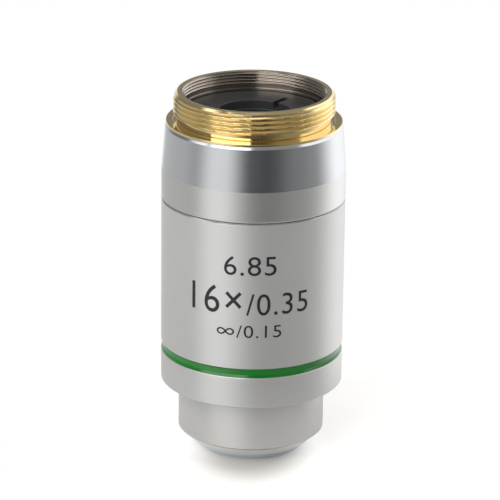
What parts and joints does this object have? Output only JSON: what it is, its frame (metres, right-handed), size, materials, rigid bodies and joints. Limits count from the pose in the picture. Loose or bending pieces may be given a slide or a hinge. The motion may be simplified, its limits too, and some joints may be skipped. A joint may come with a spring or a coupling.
{
  "type": "microscope objective",
  "caption": "Infinity-corrected microscope objective: threaded brass mount, stepped satin barrel with a green colour band, and a spring-loaded nose that retracts.",
  "frame": {"origin": "on the optical axis, at the flat front tip, where the objective stands on its nose", "axes": "+Z along the optical axis, from the front tip towards the mounting thread; +X to the right and +Y away from the viewer in the picture"},
  "size_m": [0.0286, 0.0286, 0.0576],
  "materials": {
    "mount_brass": "bright turned",
    "bright_chrome": "polished",
    "satin_chrome": "satin, finely turned",
    "green_enamel": "glossy enamel",
    "black_anodised": "matt black anodised",
    "spring_steel": "drawn wire",
    "screw_steel": "turned",
    "cell_brass": "turned",
    "crown_glass": "polished, coated",
    "flint_glass": "polished, coated"
  },
  "bodies": {
    "shell": {"body_tube": "mount_brass", "upper_sleeve": "bright_chrome", "main_barrel": "satin_chrome", "colour_ring": "green_enamel", "retaining_ring": "black_anodised", "parfocal_shim": "cell_brass", "return_spring": "spring_steel"},
    "nose": {"nose_sleeve": "satin_chrome", "front_cell": "bright_chrome", "front_lens": "crown_glass", "optical_barrel": "cell_brass", "guide_screw": "screw_steel", "centring_screws": "screw_steel", "second_cell": "cell_brass", "second_lens": "crown_glass", "lower_spacer": "black_anodised", "first_doublet_cell": "cell_brass", "first_crown": "crown_glass", "first_flint": "flint_glass", "middle_spacer": "black_anodised", "centring_cell": "cell_brass", "second_crown": "crown_glass", "second_flint": "flint_glass", "upper_spacer": "black_anodised", "aperture_stop": "black_anodised", "rear_cell": "cell_brass", "rear_crown": "crown_glass", "rear_flint": "flint_glass", "stack_ring": "black_anodised"}
  },
  "joints": [
    {"name": "nose_retract", "type": "slide", "parent": "shell", "child": "nose", "axis": [0, 0, 1], "range_m": [0, 0.002], "stiffness_N_per_m": 280, "springref_m": -0.009, "deforming": ["return_spring"]}
  ]
}
